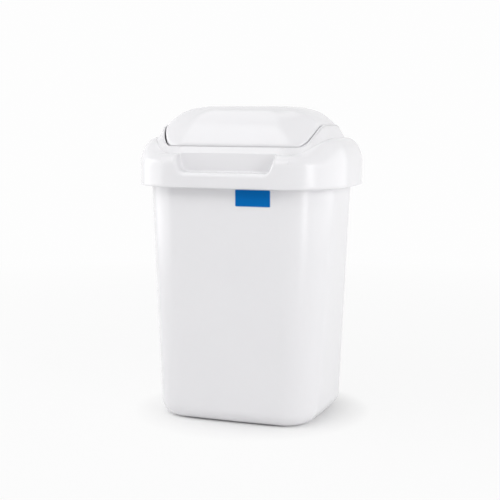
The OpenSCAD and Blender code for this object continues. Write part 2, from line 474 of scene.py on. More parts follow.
def joined(skins: Sequence[Skin]) -> Skin:
    """Puts skins together as one.

    Args:
        skins: The skins, each its points and its faces.

    Returns:
        All the points, and all the faces.
    """
    faces, base = [], 0
    for points, quads in skins:
        faces += [tuple(i + base for i in quad) for quad in quads]
        base += len(points)
    return np.vstack([points for points, _ in skins]), faces


def smooth(mesh: bpy.types.Mesh) -> None:
    """Shades every face of a mesh smooth."""
    mesh.polygons.foreach_set("use_smooth", [True] * len(mesh.polygons))
    mesh.update()


@contextmanager
def edited(mesh: bpy.types.Mesh) -> Iterator[bmesh.types.BMesh]:
    """Opens a mesh for changes, writes them back and shades it smooth.

    Args:
        mesh: The mesh.

    Returns:
        A context that hands over its open form.
    """
    shape = bmesh.new()
    shape.from_mesh(mesh)
    yield shape
    shape.to_mesh(mesh)
    shape.free()
    smooth(mesh)


def bare_mesh(name: str, points: np.ndarray, faces: Sequence[tuple[int, ...]] = ()) -> bpy.types.Mesh:
    """Makes a mesh.

    Args:
        name: Its name.
        points: Its points in millimetres.
        faces: Its faces, as numbers of points.

    Returns:
        The mesh in metres.
    """
    mesh = bpy.data.meshes.new(name)
    mesh.from_pydata((np.asarray(points) * MM).tolist(), [], list(faces))
    return mesh


def plain_mesh(name: str, form: Skin, finish: bpy.types.Material, closed: bool = False) -> bpy.types.Mesh:
    """Makes a smooth mesh whose points are merged where they meet.

    Args:
        name: The mesh's name.
        form: Its points in millimetres and its faces.
        finish: Its material.
        closed: Whether its forms are closed, and their faces are turned outward.

    Returns:
        The mesh.
    """
    mesh = bare_mesh(name, *form)
    with edited(mesh) as shape:
        bmesh.ops.remove_doubles(shape, verts=shape.verts, dist=0.002 * MM)
        bmesh.ops.dissolve_degenerate(shape, dist=0.001 * MM, edges=shape.edges)
        if closed:
            bmesh.ops.recalc_face_normals(shape, faces=shape.faces)
    mesh.materials.append(finish)
    return mesh


def carry(mesh: bpy.types.Mesh, values: dict[str, Sequence[float]]) -> None:
    """Gives a mesh's points numbers that a tree reads by name."""
    for name, numbers in values.items():
        mesh.attributes.new(name, "FLOAT", "POINT").data.foreach_set("value", numbers)


def show(mesh: bpy.types.Mesh) -> bpy.types.Object:
    """Puts a mesh in the scene, at the origin.

    Args:
        mesh: The mesh.

    Returns:
        Its object, which has the mesh's name.
    """
    made = bpy.data.objects.new(mesh.name, mesh)
    bpy.context.scene.collection.objects.link(made)
    return made


def seat(mesh: bpy.types.Mesh, body: Body, slot: Slot, *stands_for: str) -> None:
    """Shows a finished mesh, ties it to the model and reports it.

    Args:
        mesh: The piece's mesh, which has its name.
        body: The body that it rides on.
        slot: The record's slot for the piece; not used.
        *stands_for: The nodes that it is shown instead of.
    """
    piece = show(mesh)
    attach(piece, body.value)
    if stands_for:
        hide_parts(*stands_for)
    LOG.info("%s on %s: %d faces", piece.name, body.value, len(mesh.polygons))


def turned(rows: Sequence[tuple[float, float]], sides: int) -> np.ndarray:
    """Rows of a turned form about the X axis.

    Args:
        rows: Pairs of a place along the axis and a radius.
        sides: Places round it.

    Returns:
        The rows of points.
    """
    angles = np.arange(sides) * 2 * math.pi / sides
    return np.array([[(x, r * math.cos(a), r * math.sin(a)) for a in angles] for x, r in rows])


def both_sides(rows: np.ndarray, out: float, up: float, mirrored: bool = False) -> Skin:
    """Skins a form at both ends of the pivot's axis, mirrored at the left.

    Args:
        rows: Its rows of points, seen from its own place at the right.
        out: That place's distance from the middle.
        up: Its height.
        mirrored: Whether the left one's faces are turned round too.

    Returns:
        The points and the faces of the two.
    """
    points, faces = skin(rows)
    left = [face[::-1] for face in faces] if mirrored else faces
    sides = ((-1, left), (1, faces))
    return joined([(points * [way, 1, 1] + [way * out, 0, up], quads) for way, quads in sides])


# ---- Bucket ----


@dataclass
class Bucket:
    """The tapered bucket with its rounded foot and turned-down rim.

    Its top, foot and rim are each a width, a depth and a corner radius, and
    its steps are those round a corner, along a side and along the front.
    """

    finish: bpy.types.Material
    height: float = 258.0
    top: Triple = (200.0, 144.0, 46.0)
    foot: Triple = (170.0, 140.0, 31.0)
    rim: Triple = (218.8, 160.8, 55.4)
    bow: float = 2.0
    wall: float = 2.0
    foot_round: float = 16.0
    foot_step: float = 1.8
    foot_band: float = 6.0
    edge: float = 0.5
    rim_lip: float = 7.0
    rim_round: float = 1.6
    rim_flat: float = 0.4
    steps: tuple[int, int, int] = (20, 16, 24)

    def wall_at(self, z: np.ndarray | float) -> tuple[Any, ...]:
        """Width, depth and corner radius of the wall at a height."""
        return tuple(low + (high - low) * (z / self.height) for low, high in zip(self.foot, self.top))

    def front_y(self, x: np.ndarray, z: np.ndarray) -> np.ndarray:
        """The front face's distance to +Y at places seen from the front."""
        width, depth, _ = self.wall_at(z)
        return -depth / 2 - self.bow * (1 - (2 * x / width) ** 2)

    def rows(self) -> np.ndarray:
        """The rings of the loft, from under the floor out, up, over the rim and in.

        Returns:
            For each ring its height, how far it lies inward, whether it
            follows the rim, and how far it is drawn in to the middle.
        """
        step, edge, wall, r, bend = self.foot_step, self.edge, self.wall, self.foot_round, self.rim_round
        band, floor_z, inner = r + self.foot_band, step + wall, r - wall
        top, under, lip = self.height, self.height - wall, self.height - self.rim_lip
        drawn = (0, 0.3, 0.6, 0.85)
        fifths = [QUARTER * i / 5 for i in range(1, 6)]
        rows = [
            (step, band + edge, 0), (step - 0.15, band + 0.1, 0), (step - edge, band, 0), (edge, band, 0),
            (0.15, band - 0.15, 0), (0, band - edge, 0), (0, r + 2, 0),
        ]
        for a in (QUARTER * i / 14 for i in range(15)):
            rows.append((r * (1 - math.cos(a)), r * (1 - math.sin(a)), 0))
        rows += [(r + (under - 1.5 - r) * i / 16, 0, 0) for i in range(1, 17)]
        # the flange, its lip and the rounded rim
        rows += [
            (under - 0.4, -0.25, 0), (under, -1.2, 0), (under, wall + 1.2, 1), (under - 0.4, wall + 0.2, 1),
            (under - 1.4, wall, 1), (lip + 0.6, wall, 1), (lip + 0.15, wall - 0.15, 1), (lip, wall - 0.6, 1),
            (lip, 0.6, 1), (lip + 0.15, 0.15, 1), (lip + 0.6, 0, 1), (top - bend, 0, 1),
        ]
        rows += [(top - bend * (1 - math.sin(a)), bend * (1 - math.cos(a)), 1) for a in fifths]
        rows.append((top, self.rim_flat, 0))
        rows += [(top - bend * (1 - math.cos(a)), self.rim_flat + bend * math.sin(a), 0) for a in fifths]
        # the inner wall, rounded into the floor
        high, low = top - 4, floor_z + inner
        rows += [(high - (high - low) * i / 12, wall, 0) for i in range(13)]
        for a in (QUARTER * (1 - i / 10) for i in range(1, 11)):
            rows.append((floor_z + inner * (1 - math.cos(a)), wall + inner * (1 - math.sin(a)), 0))
        below = [(step, band + edge, 0, share) for share in drawn]
        above = [(floor_z, r, 0, share) for share in drawn[::-1]]
        return np.array(below + [(*row, 1) for row in rows] + above, float)

    def shape(self) -> tuple[GeometryTree, Value]:
        """The rule of the bucket's shape: every point from its station and its ring.

        Returns:
            The tree, and the geometry that it makes.
        """
        sizes = {
            f"{part} {size}": value
            for part, ring in (("Top", self.top), ("Foot", self.foot), ("Rim", self.rim))
            for size, value in zip(("width", "depth", "corner"), ring)
        }
        tree = GeometryTree("bucket_rule", sizes | {"Height": self.height, "Swell": self.bow})
        height, inset, rim = (tree.attribute(name) for name in ("height", "inset", "rim"))
        share = height / tree.size("Height")

        def spread(size: str, sides: int) -> Value:
            """One size of the ring that a point lies on.

            Args:
                size: The size's name.
                sides: How many sides of the ring its inset narrows.

            Returns:
                The size.
            """
            foot, top = tree.size("Foot " + size), tree.size("Top " + size)
            wall = foot + (top - foot) * share
            return wall + (tree.size("Rim " + size) - wall) * rim - inset * sides

        width, depth, corner = spread("width", 2), spread("depth", 2), spread("corner", 1)
        shrink = tree.attribute("shrink")
        x = (tree.attribute("side_x") * (width / 2 - corner) + tree.attribute("face_x") * corner) * shrink
        y = (tree.attribute("side_y") * (depth / 2 - corner) + tree.attribute("face_y") * corner) * shrink
        u, v, swell = x * 2 / width, y * 2 / depth, tree.size("Swell")
        place = tree.vector(
            x + swell * u * abs(u) ** 3 * (1 - v * v), y + swell * v * abs(v) ** 3 * (1 - u * u), height
        )
        moved = {"Geometry": tree.moved(tree.given, Position=place), "Distance": 0.003 * MM}
        return tree, tree.node("GeometryNodeMergeByDistance", None, moved)

    def build(self) -> None:
        """Builds the bucket's shell."""
        stations, rows = Stations.closed(*self.steps), self.rows()
        count, wide = len(rows), len(stations.side)
        blank = np.zeros((count, wide, 3))
        blank[:, :, 0], blank[:, :, 2] = np.arange(wide), np.arange(count)[:, None]
        mesh = bare_mesh("bucket_stations", *skin(blank))
        columns = zip(("side_x", "side_y", "face_x", "face_y"), (*stations.side.T, *stations.facing.T))
        levels = zip(("height", "inset", "rim", "shrink"), (rows * [MM, MM, 1, 1]).T)
        carried = {name: np.tile(values, count) for name, values in columns}
        carried |= {name: np.repeat(values, wide) for name, values in levels}
        carry(mesh, carried)
        tree, geometry = self.shape()
        shell = tree.grow("bucket_shell", mesh, geometry, self.finish)
        for name in carried:
            shell.attributes.remove(shell.attributes[name])
        smooth(shell)
        seat(shell, Body.TUB, Slot.BUCKET, "bucket")


# ---- Lid frame ----


@dataclass
class LidFrame:
    """The lid frame: skirt, shoulder, finger recess, crease, band, rim and apron.

    Its outer face has a profile from the skirt's lower edge, up over the
    shoulder to the crest and down into the crease. Names that end in _l are
    lengths along a part of it and those that end in _in lie inward of the
    skirt. The steps are those round a corner, along a side and along the back.
    """

    finish: bpy.types.Material
    skirt_z: float = 247.0
    width: float = 224.0
    depth: float = 166.0
    corner: float = 58.0
    bow: float = 2.0
    wall: float = 2.0
    skirt_h: float = 23.0
    shoulder_l: float = 18.5
    crest: Arch = CREST_ARCH
    crest_in: float = 12.1
    crest_up: float = 0.3
    crease_h: float = 34.0
    crease_in: float = 13.0
    side_in: float = 5.2
    valley: float = 1.0
    rim_h: float = 40.5
    rim: Arch = RIM_ARCH
    rim_out: float = 1.5
    apron: float = 9.0
    edge: float = 0.5
    open_w: float = 172.0
    open_d: float = 124.0
    open_r: float = 34.0
    pivot_z: float = 300.5
    hole_r: float = 2.56
    boss_wall: float = 3.0
    boss_near: float = 0.4
    boss_far: float = 13.0
    seat_z: float = 258.3
    rib_t: float = 2.0
    rib_l: float = 8.2
    rib_side_y: float = 22.0
    rib_back_x: float = 50.0
    rib_front_x: float = 68.0
    rib_climb: float = 0.77
    recess_back: float = -70.0
    recess_ledge: float = 15.3
    recess_low_x: float = 50.6
    recess_low_r: float = 8.0
    recess_lean: float = -15.0
    recess_top: tuple[float, float] = (53.6, 30.0)
    recess_end_p: float = 60.8
    recess_run: tuple[float, float] = (3.2, 1.9)
    recess_sweep: float = 5.5
    mouth_round: tuple[float, float] = (0.35, 4.2)
    ledge_round: tuple[float, float] = (0.3, 2.0)
    round_share: float = 0.42
    draft: float = 0.4
    draft_share: float = 0.06
    end_shift: float = 0.7
    end_run: tuple[float, float] = (0.15, 2.4)
    clear: tuple[float, float] = (0.12, 0.1)
    border: float = 68.0
    steps: tuple[int, int, int] = (24, 22, 22)
    front_steps: tuple[float, ...] = (0, 0.22, 0.44, 0.64, 0.8, 0.92, 1)
    band_steps: tuple[float, ...] = (0.1, 0.3, 0.5, 0.7, 0.88, 1)
    rim_round: tuple[tuple[float, float], ...] = (
        (1.15, 40.86), (0.8, 41.1), (0.45, 41.18), (0.15, 41.02), (0, 40.6),
    )
    apron_steps: tuple[float, ...] = (0.06, 0.25, 0.5, 0.75, 1)
    lip_rungs: tuple[tuple[float, float], ...] = ((0.06, 0.3), (0.22, 0.5), (0.78, 0.5), (0.94, 0.3))
    blend_at: Triple = (60.2, -68.0, 279.5)
    blend_reach: float = 3.0

    def __post_init__(self) -> None:
        """Works out the rows of the outer face, from the skirt's edge to the crease."""
        top = self.skirt_h + self.shoulder_l
        self.valley_l = self.crease_in - self.crest_in
        self.crease_v = top + self.valley_l
        parts = ((self.edge, self.skirt_h, 9), (self.skirt_h, top, 13), (top, self.crease_v, 4))
        rows = [np.linspace(*part)[min(number, 1):] for number, part in enumerate(parts)]
        self.levels = np.concatenate(rows)
        self.straight = self.width / 2 - self.corner

    def profile(self, v: np.ndarray) -> tuple[np.ndarray, np.ndarray, np.ndarray]:
        """The outer face's profile.

        Args:
            v: Distances along it from the skirt's lower edge.

        Returns:
            How far it lies inward of the skirt's face, its height over the
            skirt's lower edge, and its share of the crease's climb.
        """
        a = np.clip((v - self.skirt_h) / self.shoulder_l, 0, 1) * QUARTER
        past = np.clip(v - self.skirt_h - self.shoulder_l, 0, self.valley_l)
        inward = self.crest_in * (1 - np.cos(a)) + past
        crest = self.crease_h - self.skirt_h + self.crest_up
        fall = self.valley * (past / self.valley_l) ** 1.6
        return inward, np.minimum(v, self.skirt_h) + crest * np.sin(a) - fall, np.sin(a)

    def outer(self, stations: Stations, v: np.ndarray | float) -> np.ndarray:
        """Points on the outer face.

        Args:
            stations: Their places round the lid.
            v: Their places along its profile.

        Returns:
            One point for each station.
        """
        inward, height, share = self.profile(np.asarray(v, float))
        more = inward * self.side_in / self.crease_in
        x, y = stations.ring(
            self.width - 2 * (inward + more), self.depth - 2 * inward, self.corner - inward, self.bow
        )
        z = self.skirt_z + height + share * self.crest.at(y)
        return np.stack([x, y, z + 0 * x], axis=1)

    def front(self, p: np.ndarray) -> Stations:
        """Stations across the front, by their distance from its middle.

        Args:
            p: Distances along the skirt's face, to the right.

        Returns:
            The stations.
        """
        p = np.atleast_1d(np.asarray(p, float))
        turn = np.maximum(0, np.abs(p) - self.straight) / self.corner
        side = np.stack([np.clip(p / self.straight, -1, 1), -np.ones_like(p)], axis=1)
        return Stations(side, np.stack([np.sign(p) * np.sin(turn), -np.cos(turn)], axis=1))

    def from_x(self, x: np.ndarray) -> Stations:
        """Stations across the front, by their place on the crease.

        Args:
            x: The x of each place.

        Returns:
            The stations.
        """
        straight = self.straight - self.side_in
        over = np.maximum(0, np.abs(x) - straight) / (self.corner - self.crease_in)
        along = np.minimum(np.abs(x) / straight, 1) * self.straight
        return self.front(np.sign(x) * (along + np.arcsin(over) * self.corner))

    def mouth(self) -> np.ndarray:
        """The edge of the recess on the outer face, from its right end to its left.

        Returns:
            Places across and along the profile. The first and last rows of
            levels meet its sides, and the rest its ledge.
        """
        low, r, lean = self.recess_ledge, self.recess_low_r, self.recess_lean
        cx, cv = self.recess_low_x - r, low + r

        def bend(first: float, last: float, count: int) -> np.ndarray:
            """Places round the mouth's lower corner, between two angles in degrees."""
            angles = np.radians(np.linspace(first, last, count))
            return np.array([(cx + r * math.cos(a), cv + r * math.sin(a)) for a in angles])

        arc, head = bend(lean, -45, 12), np.array(self.recess_top)
        way = (head - arc[0]) / np.linalg.norm(head - arc[0])
        end = np.array([self.recess_end_p, self.crease_v])
        ctrl = [end, end - np.array(self.recess_run), head + way * self.recess_sweep, head]
        t = np.linspace(0, 1, 40)[:, None]
        weights = ((1 - t) ** 3, 3 * t * (1 - t) ** 2, 3 * t**2 * (1 - t), t**3)
        curve = sum(place * weight for place, weight in zip(ctrl, weights))
        side = resample(np.vstack([curve, arc]), len(self.levels))
        flat = [(x, low) for x in np.linspace(cx, 0, 14)[1:]]
        half = np.vstack([side, bend(-45, -90, 7)[1:], flat])
        return np.vstack([half, half[-2::-1] * [-1, 1]])

    def recess(self) -> tuple[np.ndarray, np.ndarray]:
        """The recess with the skirt and shoulder round it.

        Returns:
            The lines that cross its edge, each from the border with the plain
            lid to the back wall, and the grid of the back wall, from the
            crease down.
        """
        edge = self.mouth()
        side = len(self.levels) - 1
        ledge = len(edge) - 1 - 2 * side
        tangent = np.gradient(edge, axis=0)
        out = np.stack([tangent[:, 1], -tangent[:, 0]], axis=1) * -1
        out /= np.linalg.norm(out, axis=1)[:, None]
        corner = self.outer(self.front(edge[:, 0]), edge[:, 1])
        deep = np.maximum(0, self.recess_back - corner[:, 1])
        convex, concave = (
            np.maximum(least, np.minimum(most, self.round_share * deep))
            for least, most in (self.mouth_round, self.ledge_round)
        )
        # where each line starts: down the border, along the skirt's edge, up the other border
        bottom = edge[side : side + ledge + 1, 0]
        start = np.zeros_like(edge)
        start[: side + 1] = np.stack([np.full(side + 1, self.border), self.levels[::-1]], axis=1)
        start[side : side + ledge + 1, 0] = bottom * self.border / bottom[0]
        start[side : side + ledge + 1, 1] = self.levels[0]
        start[side + ledge :] = np.stack([np.full(side + 1, -self.border), self.levels], axis=1)
        first = edge + out * convex[:, None]
        first[0], first[-1] = edge[0] + [self.end_shift, 0], edge[-1] - [self.end_shift, 0]
        lines = []
        for s in self.front_steps:
            at = start + (first - start) * s
            lines.append(self.outer(self.front(at[:, 0]), at[:, 1]))
        flat = np.stack([out[:, 0], 0 * deep, out[:, 1]], axis=1)
        back = corner - flat * np.minimum(self.draft, self.draft_share * deep)[:, None]
        back[:, 1] = self.recess_back
        inward = back - corner
        inward /= np.maximum(np.linalg.norm(inward, axis=1), 1e-6)[:, None]
        into = corner + inward * convex[:, None]
        foot = back - inward * np.minimum(concave, 0.5 * deep)[:, None]
        wall_edge = back - flat * concave[:, None]
        lines += [rounded(lines[-1], corner, into, t) for t in (0.2, 0.4, 0.6, 0.8)]
        lines += [into, (into + foot) / 2, foot]
        lines += [rounded(foot, back, wall_edge, t) for t in (0.25, 0.5, 0.75)]
        lines.append(wall_edge)
        lines = np.stack(lines, axis=1)
        outside = len(self.front_steps)
        # the two end lines lie along the crease, and those next to them stay under it
        for line, way in ((lines[0], 1), (lines[-1], -1)):
            ends = abs(line[outside - 1, 0]) - np.linspace(*self.end_run, len(line) - outside)
            line[outside:] = self.cut_line(ends * way)
        for number in range(1, side + 1):
            for line in (lines[number], lines[-1 - number]):
                roof = self.cut_line(line[outside:, 0])[:, 2] - self.clear[0] - self.clear[1] * number
                line[outside:, 2] = np.minimum(line[outside:, 2], roof)
        rim = lines[:, -1]
        top = np.linspace(rim[0], rim[-1], ledge + 1)
        top[1:-1, 0] = rim[side : side + ledge + 1, 0][1:-1] / rim[side, 0] * rim[0, 0]
        top = self.cut_line(top[:, 0])
        return lines, coons(top, rim[side : side + ledge + 1], rim[: side + 1], rim[side + ledge :][::-1])

    def cut_line(self, x: np.ndarray) -> np.ndarray:
        """The upper edge of the recess's back wall, where it meets the band.

        Args:
            x: Places along it.

        Returns:
            One point for each place.
        """
        on = self.outer(self.from_x(x), self.crease_v)
        rim = self.rim_ring(self.from_x(x), self.rim_out, self.rim_h)
        share = np.clip((self.recess_back - on[:, 1]) / (rim[:, 1] - on[:, 1]), 0, 1)[:, None]
        return on + (rim - on) * share

    def rim_ring(self, stations: Stations, outward: float, height: float) -> np.ndarray:
        """Points along the opening's rim.

        Args:
            stations: Their places round the opening.
            outward: How far they lie outside the opening.
            height: Their height over the skirt's lower edge.

        Returns:
            One point for each station.
        """
        x, y = stations.ring(self.open_w + 2 * outward, self.open_d + 2 * outward, self.open_r + outward)
        return np.stack([x, y, self.skirt_z + height + self.rim.at(y)], axis=1)

    def around(self) -> Stations:
        """Stations from the recess's border round the sides and back to the other border.

        Returns:
            The stations, anticlockwise.
        """
        arc, short, long = self.steps
        whole = Stations.closed(arc, short, long)
        start = self.front(np.array([self.border]))
        bend = np.linspace(math.asin(start.facing[0, 0]), QUARTER, arc - 2)
        facing = np.stack([np.sin(bend), -np.cos(bend)], axis=1)
        right = Stations(np.tile([1.0, -1.0], (len(bend), 1)), facing)
        # the whole ring's places past the front's right corner and up to its left corner
        kept = slice(arc + 1, 3 * (arc + 1) + 2 * short + long - 3)
        rest = Stations(whole.side[kept], whole.facing[kept])
        left = Stations(right.side[::-1] * [-1, 1], right.facing[::-1] * [-1, 1])
        return right + rest + left

    def shell(self) -> bpy.types.Mesh:
        """The lid frame's wall with its recess, rim and apron.

        Returns:
            The mesh.
        """
        lines, back_wall = self.recess()
        around = self.around()
        rows = np.stack([self.outer(around, v) for v in self.levels])
        front_top = np.vstack([lines[0], back_wall[0][1:-1], lines[-1][::-1]])
        # the band and everything above it goes right round, anticlockwise
        top = np.vstack([front_top[::-1], rows[-1][1:-1]])
        stations = self.from_x(front_top[::-1, 0])
        stations = stations + Stations(around.side[1:-1], around.facing[1:-1])
        band = self.rim_ring(stations, self.rim_out, self.rim_h)
        upper = [top] + [top + (band - top) * s for s in self.band_steps]
        upper += [self.rim_ring(stations, outward, height) for outward, height in self.rim_round]
        rim, low = upper[-1], self.skirt_z + self.rim_h - self.apron + self.edge
        upper += [rim + (low - rim) * [0, 0, s] for s in self.apron_steps]
        parts = [skin(part, False) for part in (lines, back_wall, rows)]
        mesh = plain_mesh("lid_shell", joined([*parts, skin(np.stack(upper))]), self.finish)
        self._give_wall(mesh)
        return mesh

    def _give_wall(self, mesh: bpy.types.Mesh) -> None:
        """Gives the outer face its wall and rounds the two lower edges.

        Args:
            mesh: The outer face, which is changed.
        """
        with edited(mesh) as shape:
            x, y, z = (size * MM for size in self.blend_at)
            reach = self.blend_reach * MM
            # the points where the recess runs out into the crease
            ends = [v for v in shape.verts if abs(abs(v.co.x) - x) < reach and v.co.y < y and v.co.z > z]
            axes = {f"use_axis_{axis}": True for axis in "xyz"}
            for _ in range(3):
                bmesh.ops.smooth_vert(shape, verts=ends, factor=0.5, **axes)
            bmesh.ops.recalc_face_normals(shape, faces=shape.faces)
            shape.faces.ensure_lookup_table()
            foremost = min(shape.faces, key=lambda face: face.calc_center_median().y)
            if foremost.normal.y > 0:
                bmesh.ops.reverse_faces(shape, faces=shape.faces)
            shape.normal_update()
            outer, faces = list(shape.verts), list(shape.faces)
            loops = [edge.link_loops[0] for edge in shape.edges if edge.is_boundary]
            rails = [(loop.vert, loop.link_loop_next.vert) for loop in loops]
            inner = {v: shape.verts.new(v.co - v.normal * self.wall * MM) for v in outer}
            for face in faces:
                shape.faces.new([inner[v] for v in reversed(face.verts)])
            rungs = {}
            for a in {v for pair in rails for v in pair}:
                across = inner[a].co - a.co
                steps = [a.co + across * s for s, _ in self.lip_rungs]
                for step, (_, drop) in zip(steps, self.lip_rungs):
                    step.z -= drop * MM
                rungs[a] = [a] + [shape.verts.new(step) for step in steps] + [inner[a]]
            for a, b in rails:
                for i in range(len(self.lip_rungs) + 1):
                    shape.faces.new([rungs[a][i], rungs[a][i + 1], rungs[b][i + 1], rungs[b][i]])
            bmesh.ops.remove_doubles(shape, verts=shape.verts, dist=0.001 * MM)

    def rib_shape(self) -> tuple[GeometryTree, Value]:
        """The rule of the seat ribs: a plate under the shoulder at every point.

        Returns:
            The tree, and the geometry that it makes.
        """
        tree = GeometryTree("rib_rule", {
            "Length": self.rib_l, "Thickness": self.rib_t, "Seat height": self.seat_z,
            "Shoulder width": self.crest_in, "Shoulder foot": self.skirt_z + self.skirt_h,
            "Shoulder height": self.crease_h - self.skirt_h, "Climb": self.crest.rise, "Wall": self.wall,
        })
        sides = {"Vertices X": 12, "Vertices Y": 2, "Vertices Z": 5}
        sides["Size"] = tree.vector(1.0, tree.size("Thickness"), 1.0)
        block = tree.node("GeometryNodeMeshCube", None, sides)
        here = tree.node("ShaderNodeSeparateXYZ", None, {0: tree.node("GeometryNodeInputPosition")})
        along, up = here + 0.5, here.other("Z") + 0.5
        half_wall = tree.size("Wall") / 2
        x = along * (tree.size("Length") + half_wall) - tree.size("Length")
        under = 1 - (tree.size("Wall") - x) / tree.size("Shoulder width")
        rise = (1 - under.at_least(0.0) ** 2) ** 0.5
        roof = tree.size("Shoulder foot") + tree.size("Shoulder height") * rise - half_wall
        floor = tree.size("Seat height")
        lift = {"Geometry": block, "Name": "lift", "Value": up * rise * tree.size("Climb")}
        kind = {"data_type": "FLOAT", "domain": "POINT"}
        kept = tree.node("GeometryNodeStoreNamedAttribute", kind, lift)
        shaped = tree.moved(kept, Position=tree.vector(x, here.other("Y"), floor + up * (roof - floor)))
        angles = tree.vector(0.0, 0.0, tree.attribute("turn"))
        turn = tree.node("FunctionNodeEulerToRotation", None, {0: angles})
        stand = {"Points": tree.given, "Instance": shaped, "Rotation": turn}
        placed = tree.node("GeometryNodeInstanceOnPoints", None, stand)
        real = tree.node("GeometryNodeRealizeInstances", None, {"Geometry": placed})
        climb = tree.vector(0.0, 0.0, tree.attribute("lift") * tree.attribute("share"))
        return tree, tree.moved(real, Offset=climb)

    def ribs(self) -> bpy.types.Mesh:
        """The ribs under the shoulder that seat on the bucket's rim.

        Returns:
            The mesh.
        """
        x, y = self.width / 2 - self.wall, self.depth / 2 - self.wall
        climb = self.rib_climb * float(self.crest.share(self.rib_side_y))
        # each rib's place, its turn and its share of the crest's climb
        ways = (-1, 1)
        ribs = [(s * x, t * self.rib_side_y, 0 if s > 0 else math.pi, climb) for s in ways for t in ways]
        ribs += [(t * self.rib_back_x, y, QUARTER, 0.0) for t in (-1, 0, 1)]
        ribs += [(s * self.rib_front_x, -y, -QUARTER, 0.0) for s in ways]
        mesh = bare_mesh("rib_points", [(px, py, 0) for px, py, _, _ in ribs])
        carry(mesh, {"turn": [rib[2] for rib in ribs], "share": [rib[3] for rib in ribs]})
        tree, geometry = self.rib_shape()
        return tree.grow("lid_seat_ribs", mesh, geometry, self.finish)

    def bosses(self) -> bpy.types.Mesh:
        """The rings of material round the two pivot holes, behind the apron.

        Returns:
            The mesh.
        """
        bore, near, far = self.hole_r, self.boss_near, self.boss_far
        r = bore + self.boss_wall
        rows = turned([(near, bore), (near, r), (far, r), (far, bore), (near, bore)], 48)
        foot = self.crease_h - self.valley + self.crest.rise
        high = self.rim_h + self.rim.rise - foot
        wide = (self.width - self.open_w) / 2 - self.crease_in - self.side_in - self.rim_out
        for row in rows:
            over = row[:, 2] + self.pivot_z - self.skirt_z - foot
            row[:, 0] = np.minimum(row[:, 0], np.maximum(near, wide * (1 - over / high)))
        form = both_sides(rows, self.open_w / 2, self.pivot_z, True)
        return plain_mesh("lid_pivot_bosses", form, self.finish, True)

    def build(self) -> None:
        """Builds the lid frame's pieces."""
        seat(self.shell(), Body.LID, Slot.LID, "lid_frame")
        seat(self.ribs(), Body.LID, Slot.LID)
        seat(self.bosses(), Body.LID, Slot.LID)


def resample(line: np.ndarray, count: int) -> np.ndarray:
    """Spreads points evenly along a line.

    Args:
        line: The line's points.
        count: How many points it gets.

    Returns:
        The new points.
    """
    steps = np.linalg.norm(np.diff(line, axis=0), axis=1)
    along = np.concatenate([[0], np.cumsum(steps)])
    at = np.linspace(0, along[-1], count)
    return np.stack([np.interp(at, along, line[:, k]) for k in range(line.shape[1])], axis=1)


def rounded(start: np.ndarray, corner: np.ndarray, end: np.ndarray, t: float) -> np.ndarray:
    """Points on the round that replaces a corner.

    Args:
        start: Where the round starts.
        corner: The sharp corner.
        end: Where the round ends.
        t: The place on the round, from 0 to 1.

    Returns:
        The points.
    """
    a, b, c = (1 - t) ** 2, 2 * math.sqrt(0.5) * t * (1 - t), t**2
    return (a * start + b * corner + c * end) / (a + b + c)


def coons(top: np.ndarray, bottom: np.ndarray, left: np.ndarray, right: np.ndarray) -> np.ndarray:
    """Fills the space between four lines with a grid.

    Args:
        top: The grid's first row.
        bottom: Its last row.
        left: The first point of every row.
        right: The last point of every row.

    Returns:
        The grid's rows.
    """
    s = np.linspace(0, 1, len(top))[None, :, None]
    t = np.linspace(0, 1, len(left))[:, None, None]
    across = left[:, None] * (1 - s) + right[:, None] * s
    down = top[None] * (1 - t) + bottom[None] * t
    flat = (top[0] * (1 - s) + top[-1] * s) * (1 - t) + (bottom[0] * (1 - s) + bottom[-1] * s) * t
    return across + down - flat


# ---- Swing flap ----


